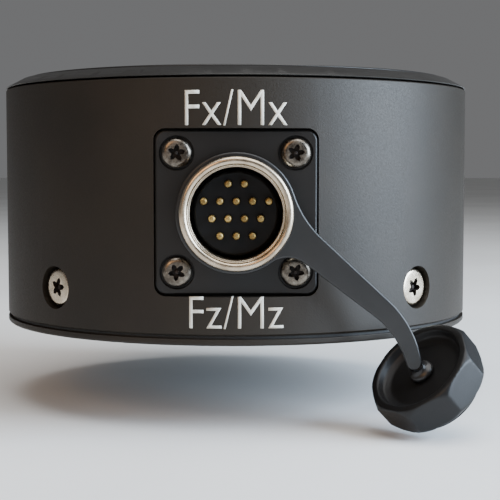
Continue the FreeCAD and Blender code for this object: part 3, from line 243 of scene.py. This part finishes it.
def pick(mesh: bmesh.types.BMesh, piece: bpy.types.Object, faces: Callable[[bmesh.types.BMFace], bool]) -> None:
    """Select the faces that pass a test.

    Args:
        mesh: the mesh being edited.
        piece: its object.
        faces: the test.
    """
    for face in mesh.faces:
        if faces(face):
            face.select_set(True)
    bmesh.update_edit_mesh(piece.data)


def apply_modifier(piece: bpy.types.Object, kind: str, **settings: object) -> None:
    """Put a modifier on a piece and apply it.

    Args:
        piece: the object.
        kind: the modifier's type name.
        settings: its properties.
    """
    only(piece)
    modifier = piece.modifiers.new(kind.lower(), kind)
    for key, value in settings.items():
        setattr(modifier, key, value)
    bpy.ops.object.modifier_apply(modifier=modifier.name)


def smooth(piece: bpy.types.Object, angle: float = 35.0) -> None:
    """Shade a piece smooth except across edges sharper than an angle in degrees."""
    only(piece)
    bpy.ops.object.shade_smooth_by_angle(angle=math.radians(angle))


def settle(piece: bpy.types.Object) -> None:
    """Put a piece's place into its mesh, so that its object is at the origin."""
    only(piece)
    bpy.ops.object.transform_apply(location=True, rotation=True, scale=True)


def dress(piece: bpy.types.Object, *finishes: Finish) -> None:
    """Give a piece its finishes, in slot order."""
    piece.data.materials.clear()
    for finish in finishes:
        piece.data.materials.append(finish.material())


def softened(node: str, finish: Finish, width_mm: float, body: str,
             segments: int = 2, clamp: bool = True) -> bpy.types.Object:
    """A copy of a CAD node with merged faces, eased edges and smooth shading, shown in its place.

    Args:
        node: the CAD node.
        finish: its finish.
        width_mm: the width of the eased edges.
        body: the CAD body it rides on.
        segments: faces across an eased edge.
        clamp: whether short edges may narrow the easing of their neighbours.

    Returns:
        The new piece.
    """
    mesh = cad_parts[node].data.copy()
    piece = bpy.data.objects.new(f"{node}_eased", mesh)
    bpy.context.scene.collection.objects.link(piece)
    with editing(piece, "VERT"):
        bpy.ops.mesh.select_all(action="SELECT")
        bpy.ops.mesh.remove_doubles(threshold=MERGE)
        bpy.ops.mesh.dissolve_limited(angle_limit=math.radians(0.8))
    if width_mm > 0:
        apply_modifier(piece, "BEVEL", width=width_mm * MM, segments=segments, limit_method="ANGLE",
                       angle_limit=math.radians(32), use_clamp_overlap=clamp, harden_normals=False)
    smooth(piece, 40.0)
    apply_modifier(piece, "WEIGHTED_NORMAL", keep_sharp=True, weight=60)
    dress(piece, finish)
    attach(piece, body)
    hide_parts(node)
    log.info("%s rides on %s", piece.name, body)
    return piece


def tumbled(piece: bpy.types.Object, grain_mm: float, passes: int) -> None:
    """Wear every edge of a piece round, as tumbling does.

    Args:
        piece: the object.
        grain_mm: the width of the new faces before they are thinned out.
        passes: how often the surface is smoothed.
    """
    apply_modifier(piece, "REMESH", mode="VOXEL", voxel_size=grain_mm * MM)
    apply_modifier(piece, "SMOOTH", factor=0.5, iterations=passes)
    apply_modifier(piece, "DECIMATE", ratio=0.3)
    smooth(piece, 60.0)


# Sub-assemblies

@dataclass
class Housing:
    """Turned housing with its base, floating flange and top ring."""

    edge_mm: float = 0.12
    body: str = "sensor"

    def build(self) -> None:
        """Ease and dress the black outer pieces and the screws seen in them."""
        softened("housing_shell", BLASTED_BLACK, self.edge_mm, self.body)
        softened("base_flange", BLASTED_BLACK, self.edge_mm, self.body)
        softened("tool_flange", MILLED_BLACK, self.edge_mm, self.body)
        softened("top_ring", TURNED_BLACK, 0.08, self.body)
        softened("element_screws", BLACK_OXIDE, 0.15, self.body)
        softened("hub_screws", BLACK_OXIDE, 0.1, self.body)
        softened("locating_pins", GROUND_STEEL, 0.1, self.body)


@dataclass
class Marking:
    """Axis letters printed on the housing's wall."""

    wall_radius_mm: float = 40.0
    ink_mm: float = 0.03
    lines: tuple = (("Fx/Mx", 15.0, 5.2, 34.9), ("Fz/Mz", 13.9, 4.8, 5.0))
    body: str = "sensor"

    def letters(self, words: str, width_mm: float, height_mm: float, level_mm: float) -> None:
        """Print one line of letters round the wall.

        Args:
            words: the letters.
            width_mm: the line's width.
            height_mm: the capitals' height.
            level_mm: the height of the line's middle above the base.
        """
        only()
        bpy.ops.object.text_add(location=(0, 0, 0))
        line = bpy.context.object
        line.name = f"marking_{int(level_mm)}"
        line.data.body = words
        line.data.align_x = "CENTER"
        line.data.resolution_u = 6
        line.data.offset = -0.01
        only(line)
        bpy.ops.object.convert(target="MESH")
        spots = [vertex.co.copy() for vertex in line.data.vertices]
        low, high = min(s.x for s in spots), max(s.x for s in spots)
        foot, top = min(s.y for s in spots), max(s.y for s in spots)
        radius = self.wall_radius_mm * MM
        for vertex, spot in zip(line.data.vertices, spots):
            across = ((spot.x - low) / (high - low) - 0.5) * width_mm * MM
            up = level_mm * MM + ((spot.y - foot) / (top - foot) - 0.5) * height_mm * MM
            turn = across / radius
            vertex.co = Vector((radius * math.sin(turn), -radius * math.cos(turn), up))
        with editing(line, "FACE"):
            bpy.ops.mesh.select_all(action="SELECT")
            bpy.ops.mesh.remove_doubles(threshold=MERGE)
            bpy.ops.mesh.subdivide(number_cuts=1)
        apply_modifier(line, "SOLIDIFY", thickness=self.ink_mm * MM, offset=1.0)
        dress(line, MARKING_INK)
        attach(line, self.body)
        log.info("%s rides on %s", line.name, self.body)

    def build(self) -> None:
        """Print both lines."""
        for words, width, height, level in self.lines:
            self.letters(words, width, height, level)


@dataclass
class PanScrews:
    """Pan-head screws with a five-pointed drive recess and a pin in its middle.

    The crown is the share of the head's height that is rounded off.
    """

    node: str
    head_radius_mm: float
    head_height_mm: float
    shank_radius_mm: float
    length_mm: float
    star_radius_mm: float
    recess_mm: float
    crown: float
    finish: Finish
    seats: list = field(default_factory=list)
    turns: tuple = (12.0, 47.0, 5.0, 64.0)
    body: str = "sensor"

    def head(self) -> bpy.types.Object:
        """Model one head, seated on the level plane and facing up.

        Returns:
            The head with its shank, before it has a place.
        """
        only()
        height = self.head_height_mm * MM
        radius = self.head_radius_mm * MM
        bpy.ops.mesh.primitive_cylinder_add(vertices=48, radius=radius, depth=height, location=(0, 0, height / 2))
        head = bpy.context.object
        settle(head)
        with editing(head, "FACE") as mesh:
            pick(mesh, head, lambda face: face.normal.z > 0.9)
            bpy.ops.mesh.region_to_loop()
            bpy.ops.mesh.bevel(offset=height * self.crown, segments=7, profile=0.5, affect="EDGES")
        with editing(head, "FACE") as mesh:
            pick(mesh, head, lambda face: face.normal.z < -0.9)
            bpy.ops.mesh.inset(thickness=radius - self.shank_radius_mm * MM)
            bpy.ops.mesh.extrude_region_move(
                TRANSFORM_OT_translate={"value": (0, 0, -self.length_mm * MM)})
        return head

    def star(self) -> bpy.types.Object:
        """Model the cutter of the drive recess.

        Returns:
            A five-pointed prism that stands through the head's top.
        """
        only()
        radius = self.star_radius_mm * MM
        top = self.head_height_mm * MM + 0.2 * MM
        bpy.ops.mesh.primitive_circle_add(vertices=20, radius=radius, fill_type="NGON", location=(0, 0, top))
        star = bpy.context.object
        with editing(star, "VERT") as mesh:
            mesh.verts.ensure_lookup_table()
            for vertex in mesh.verts:
                step = round(math.atan2(vertex.co.y, vertex.co.x) / (math.pi / 10)) % 4
                if step == 2:
                    vertex.select_set(True)
            bmesh.update_edit_mesh(star.data)
            bpy.ops.transform.resize(value=(0.5, 0.5, 1))
            bpy.ops.mesh.select_all(action="DESELECT")
            for vertex in mesh.verts:
                step = round(math.atan2(vertex.co.y, vertex.co.x) / (math.pi / 10)) % 4
                if step in (1, 3):
                    vertex.select_set(True)
            bmesh.update_edit_mesh(star.data)
            bpy.ops.transform.resize(value=(0.8, 0.8, 1))
        with editing(star, "FACE"):
            bpy.ops.mesh.select_all(action="SELECT")
            bpy.ops.mesh.extrude_region_move(
                TRANSFORM_OT_translate={"value": (0, 0, -(self.recess_mm + 0.2) * MM)})
            bpy.ops.transform.resize(value=(0.86, 0.86, 1))
            bpy.ops.mesh.select_all(action="SELECT")
            bpy.ops.mesh.normals_make_consistent(inside=False)
        return star

    def one(self) -> bpy.types.Object:
        """Cut the recess into a head and set the pin in it.

        Returns:
            One finished screw at the origin.
        """
        screw, cutter = self.head(), self.star()
        apply_modifier(screw, "BOOLEAN", operation="DIFFERENCE", solver="EXACT", object=cutter)
        bpy.data.objects.remove(cutter)
        only()
        floor = (self.head_height_mm - self.recess_mm) * MM
        pin_height = self.recess_mm * 0.75 * MM
        bpy.ops.mesh.primitive_cylinder_add(vertices=16, radius=self.star_radius_mm * 0.2 * MM,
                                            depth=pin_height, location=(0, 0, floor + pin_height / 2))
        pin = bpy.context.object
        apply_modifier(pin, "BEVEL", width=0.06 * MM, segments=2, limit_method="ANGLE")
        only(screw, pin)
        bpy.ops.object.join()
        smooth(screw, 30.0)
        # The second slot paints shade into the drive recess.
        dress(screw, self.finish, RECESS_PAINTED_SHADE)
        reach = self.star_radius_mm * 1.02 * MM
        level = self.head_height_mm * MM - 0.03 * MM
        # Faces inside the star, below the head's top, take the painted shade.
        for face in screw.data.polygons:
            centre = face.center
            near = math.hypot(centre.x, centre.y) < reach
            face.material_index = 1 if near and floor - 0.1 * MM < centre.z < level else 0
        return screw

    def build(self) -> None:
        """Copy the screw to its seats, each turned differently, and let them stand for the CAD node."""
        model = self.one()
        for index, (spot, outward) in enumerate(self.seats):
            copy = model.copy()
            copy.data = model.data.copy()
            copy.name = f"{self.node}_{index + 1}"
            bpy.context.scene.collection.objects.link(copy)
            turn = Matrix.Rotation(math.radians(self.turns[index % len(self.turns)]), 4, "Z")
            facing = Vector(outward).to_track_quat("Z", "Y").to_matrix().to_4x4()
            copy.matrix_world = Matrix.Translation(Vector(spot)) @ facing @ turn
            bpy.context.view_layer.update()
            settle(copy)
            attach(copy, self.body)
            log.info("%s rides on %s", copy.name, self.body)
        bpy.data.objects.remove(model)
        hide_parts(self.node)


@dataclass
class Socket:
    """Square plate with the round socket, its insert and its gold contacts."""

    body: str = "sensor"

    def build(self) -> None:
        """Ease and dress the plate, the shell, the insert and the contacts."""
        softened("connector_plate", MILLED_BLACK, 0.1, self.body)
        softened("connector_shell", SATIN_NICKEL, 0.1, self.body, 3)
        softened("connector_insert", INSERT_PLASTIC, 0.12, self.body)
        softened("contact_pins", HARD_GOLD, 0.1, self.body)


@dataclass
class Tether:
    """Rubber strap with its collar, and the plug cap that spins on its foot."""

    def build(self) -> None:
        """Round the strap's moulded edges and the cap's tumbled ones."""
        softened("tether_strap", MOULDED_RUBBER, 0.3, "tether", 3, clamp=False)
        tumbled(softened("cap_body", CAP_BLACK, 0.0, "cap"), 0.15, 12)
        softened("cap_seal", SEAL_RUBBER, 0.0, "cap")


@dataclass
class Insides:
    """What lies inside the housing."""

    finishes: dict = field(default_factory=lambda: {
        "base_gasket": SEAL_RUBBER, "flange_seal": SEAL_RUBBER, "plate_gasket": SEAL_RUBBER,
        "sensing_element": BARE_ALUMINIUM, "strain_gauges": GAUGE_FOIL, "gauge_leads": AMBER_FILM,
        "amplifier_board": SOLDER_MASK, "board_spacers": GROUND_STEEL, "board_screws": WORN_STEEL,
        "signal_chips": CHIP_EPOXY, "film_header": CHIP_EPOXY, "ribbon_film": AMBER_FILM,
        "stop_pins": GROUND_STEEL, "connector_nut": SATIN_NICKEL, "solder_board": SOLDER_MASK,
    })

    def build(self) -> None:
        """Give each inner CAD node its finish."""
        for node, finish in self.finishes.items():
            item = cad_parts[node]
            for index in range(len(item.material_slots)):
                item.material_slots[index].material = finish.material()
            if not item.material_slots:
                item.data.materials.append(finish.material())
            log.info("%s keeps its CAD mesh", node)


@dataclass
class Studio:
    """Pale floor, soft lights and the camera."""

    floor_mm: float = -13.2
    camera_mm: tuple = (0.0, -218.0, 25.8)
    aim_mm: tuple = (2.0, -40.0, 14.2)
    lens_mm: float = 88.0
    surroundings: str = "e9eaec"
    surroundings_strength: float = 0.2

    def lamp(self, name: str, place: tuple, aim: tuple, size: tuple, power: float, colour: str) -> None:
        """Add a soft rectangular lamp.

        Args:
            name: the lamp's name.
            place: where it stands, in metres.
            aim: the point it faces.
            size: its width and height in metres.
            power: its power in watts.
            colour: its sRGB hex colour.
        """
        only()
        bpy.ops.object.light_add(type="AREA", location=place)
        lamp = bpy.context.object
        lamp.name = name
        lamp.data.shape = "RECTANGLE"
        lamp.data.size, lamp.data.size_y = size
        lamp.data.energy = power
        lamp.data.color = linear(colour)[:3]
        lamp.rotation_euler = (Vector(aim) - Vector(place)).to_track_quat("-Z", "Y").to_euler()

    def floor(self) -> None:
        """Lay a wide floor under the hanging cap."""
        only()
        bpy.ops.mesh.primitive_plane_add(size=12, location=(0, 0, self.floor_mm * MM))
        floor = bpy.context.object
        floor.name = "studio_floor"
        with editing(floor, "FACE"):
            bpy.ops.mesh.select_all(action="SELECT")
            bpy.ops.mesh.subdivide(number_cuts=3)
        settle(floor)
        dress(floor, STUDIO_FLOOR)

    def camera(self) -> None:
        """Stand the camera at the photograph's viewing angle."""
        only()
        place = Vector(self.camera_mm) * MM
        bpy.ops.object.camera_add(location=place)
        camera = bpy.context.object
        camera.rotation_euler = (Vector(self.aim_mm) * MM - place).to_track_quat("-Z", "Y").to_euler()
        camera.data.sensor_width = 36
        camera.data.sensor_fit = "HORIZONTAL"
        camera.data.lens = self.lens_mm
        camera.data.clip_start = 0.01
        bpy.context.scene.camera = camera

    def build(self) -> None:
        """Set the world, the floor, the lamps and the camera."""
        world = bpy.data.worlds.new("studio")
        world.use_nodes = True
        background = world.node_tree.nodes["Background"]
        background.inputs["Color"].default_value = linear(self.surroundings)
        background.inputs["Strength"].default_value = self.surroundings_strength
        bpy.context.scene.world = world
        self.floor()
        self.lamp("right_panel", (0.38, -0.15, 0.1), (0, 0, 0.02), (0.3, 0.45), 9.5, "d2e4f8")
        self.lamp("left_front", (-0.25, -0.45, 0.3), (0, -0.03, 0.02), (0.3, 0.3), 0.9, "ffc890")
        self.lamp("overhead", (0.1, -0.1, 0.6), (0, 0, 0.02), (0.6, 0.6), 4.6, "ffffff")
        self.camera()


def seats_on_plate(aside_mm: float = 8.75, reach_mm: float = 37.5, socket_mm: float = 19.6) -> list:
    """Seats of the plate's four screws.

    Args:
        aside_mm: how far each screw stands from the socket's axis, sideways and upwards.
        reach_mm: the seats' distance from the housing's axis.
        socket_mm: the height of the socket's axis.

    Returns:
        A point and the outward direction of each.
    """
    return [((x * aside_mm * MM, -reach_mm * MM, (socket_mm + z * aside_mm) * MM), (0, -1, 0))
            for x in (-1, 1) for z in (1, -1)]


def seats_on_wall(reach_mm: float = 37.8, height_mm: float = 7.6) -> list:
    """Seats of the wall's four screws.

    Args:
        reach_mm: the seats' distance from the housing's axis.
        height_mm: their height above the base.

    Returns:
        A point and the outward direction of each.
    """
    seats = []
    for quarter in range(4):
        turn = math.radians(45 + 90 * quarter)
        outward = (math.cos(turn), math.sin(turn), 0)
        seats.append(((outward[0] * reach_mm * MM, outward[1] * reach_mm * MM, height_mm * MM), outward))
    return seats


def main() -> None:
    """Build and dress every piece, then set the studio."""
    Housing().build()
    Marking().build()
    PanScrews(
        "plate_screws", head_radius_mm=2.25, head_height_mm=1.5, shank_radius_mm=1.2, length_mm=4.5,
        star_radius_mm=1.35, recess_mm=0.85, crown=0.55, finish=WORN_STEEL, seats=seats_on_plate()).build()
    # The wall's screws take the lighter copy of the steel, which is painted light.
    PanScrews(
        "side_screws", head_radius_mm=2.9, head_height_mm=1.55, shank_radius_mm=1.45, length_mm=6.0,
        star_radius_mm=1.6, recess_mm=0.9, crown=0.35, finish=PAINTED_LIT_STEEL, seats=seats_on_wall()).build()
    Socket().build()
    Tether().build()
    Insides().build()
    Studio().build()


if __name__ == "__main__":
    main()
